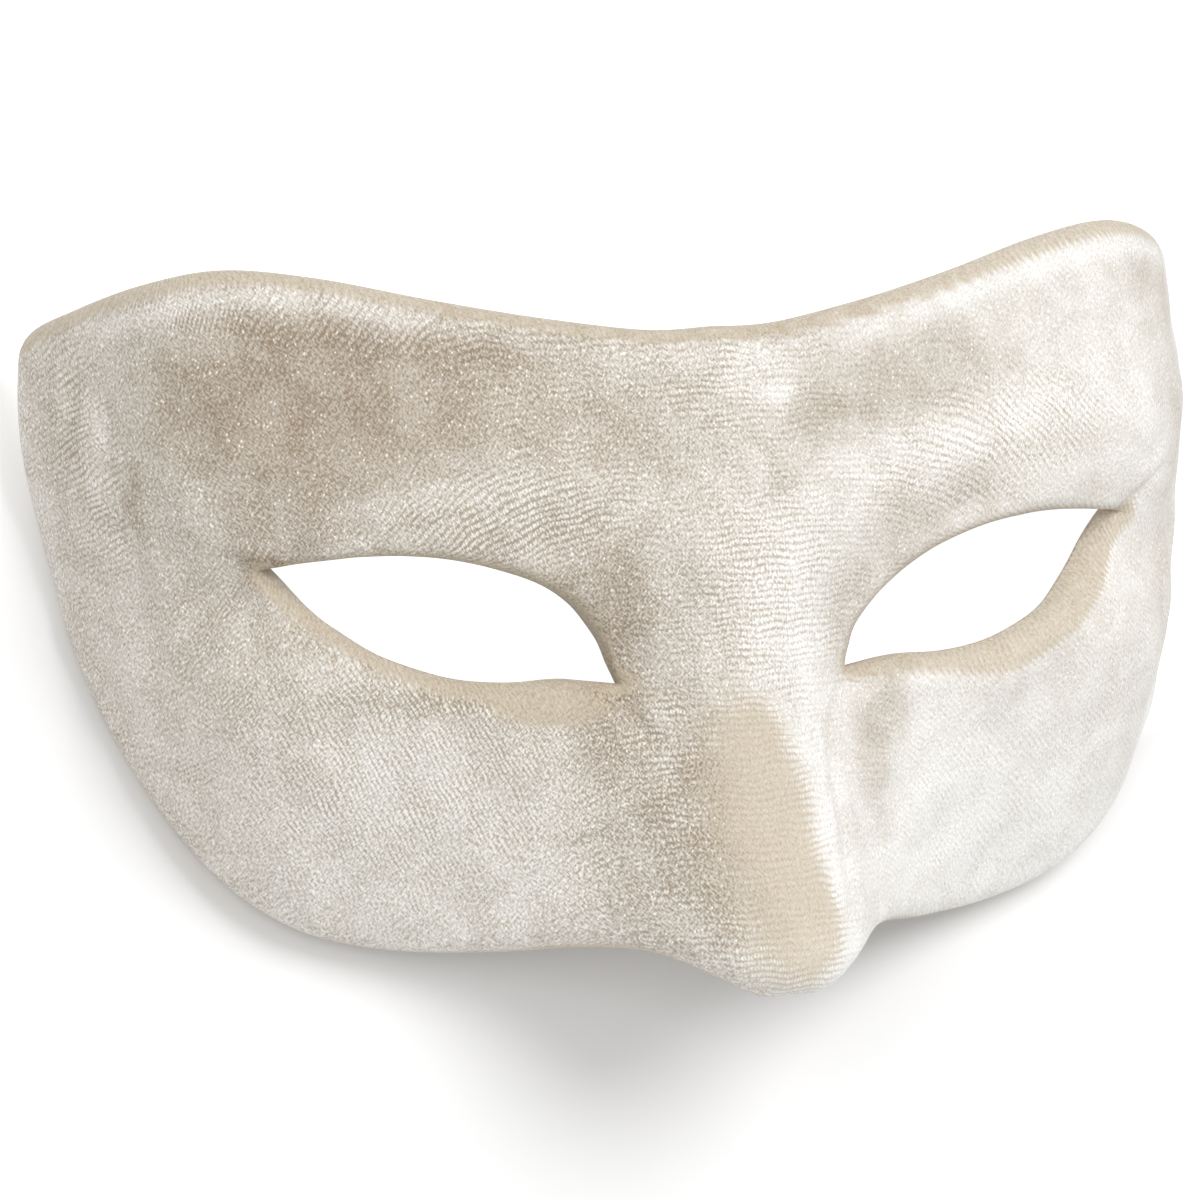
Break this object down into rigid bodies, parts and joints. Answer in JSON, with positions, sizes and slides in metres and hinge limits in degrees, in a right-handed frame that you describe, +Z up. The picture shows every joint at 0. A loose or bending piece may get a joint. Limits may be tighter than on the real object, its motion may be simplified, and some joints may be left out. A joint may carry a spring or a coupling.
{
  "type": "masquerade mask",
  "caption": "Half-face masquerade mask: a thin moulded shell over brow, nose and cheeks with almond eye holes, covered in ivory crushed velvet.",
  "frame": {"origin": "centre of the footprint on the table, at the height of the two flats that the mask rests on", "axes": "+X across the mask's width, to the right of someone facing it; +Y towards the brow; +Z up, out of the lying face"},
  "size_m": [0.173, 0.1054, 0.0463],
  "materials": {
    "velvet": "ivory crushed velvet with a knitted ground"
  },
  "bodies": {
    "root": {"velvet_mask_shell": "velvet"}
  },
  "joints": []
}
